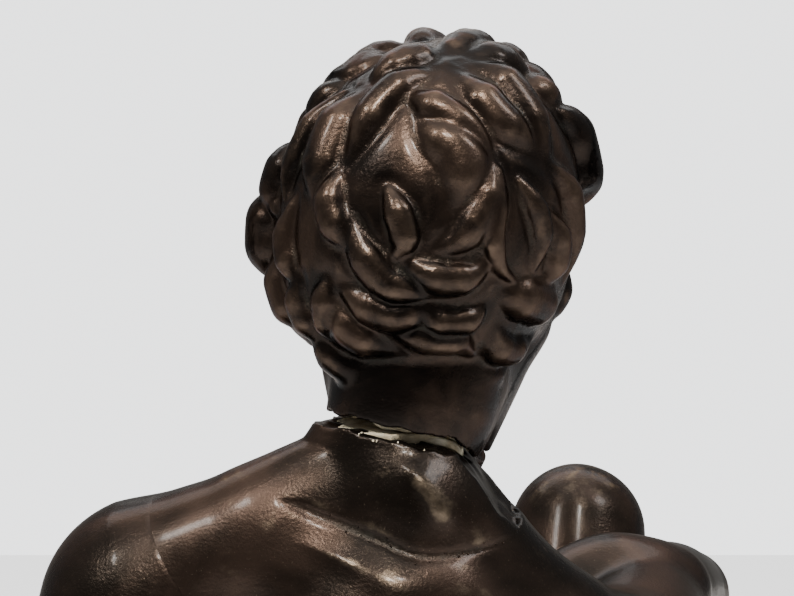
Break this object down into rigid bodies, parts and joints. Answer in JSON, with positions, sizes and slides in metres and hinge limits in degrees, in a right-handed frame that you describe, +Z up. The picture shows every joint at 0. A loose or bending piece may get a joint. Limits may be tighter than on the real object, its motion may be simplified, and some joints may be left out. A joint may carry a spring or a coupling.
{
  "type": "statuette",
  "caption": "Seated bronze youth on a rock with one knee raised, head split from the body by an open break at the neck, on a stone plinth.",
  "frame": {"origin": "middle of the underside, where the cork pads stand", "axes": "+Z up, the figure's back towards +Y and its left side towards +X"},
  "size_m": [0.1518, 0.1794, 0.2097],
  "materials": {
    "bronze_head": "dark reddish-brown patinated bronze, waxed, pitted in the recesses",
    "bronze_body": "dark brown-green patinated bronze, waxed, worn golden-grey on the ridges",
    "bronze_drapery": "dark brown patinated bronze",
    "bronze_rock": "dark green-brown patinated bronze with a rough cast grain",
    "plaster": "cream casting plaster, crumbly and stained",
    "iron": "rusted wrought iron",
    "steel": "plain turned steel",
    "marble": "polished black-green marble with pale veins",
    "cork": "pressed cork"
  },
  "bodies": {
    "statuette": {"torso": "bronze_body", "torso_core": "plaster", "neck_rod": "iron", "neck_plaster": "plaster", "left_arm": "bronze_body", "right_arm": "bronze_body", "left_leg": "bronze_body", "right_leg": "bronze_body", "drapery": "bronze_drapery", "left_shoulder_stud": "iron", "right_shoulder_stud": "iron", "left_hip_stud": "iron", "right_hip_stud": "iron", "cross_pins": "steel", "drape_rivets": "iron", "rock_base": "bronze_rock", "figure_studs": "steel", "figure_nuts": "steel", "plinth": "marble", "tie_rod": "steel", "tie_washer": "steel", "tie_nut": "steel", "cork_pads": "cork"},
    "head": {"head": "bronze_head", "head_core": "plaster"}
  },
  "joints": [
    {"name": "head_lift", "type": "slide", "parent": "statuette", "child": "head", "axis": [0, 0, 1], "range_m": [0, 0.03]}
  ]
}
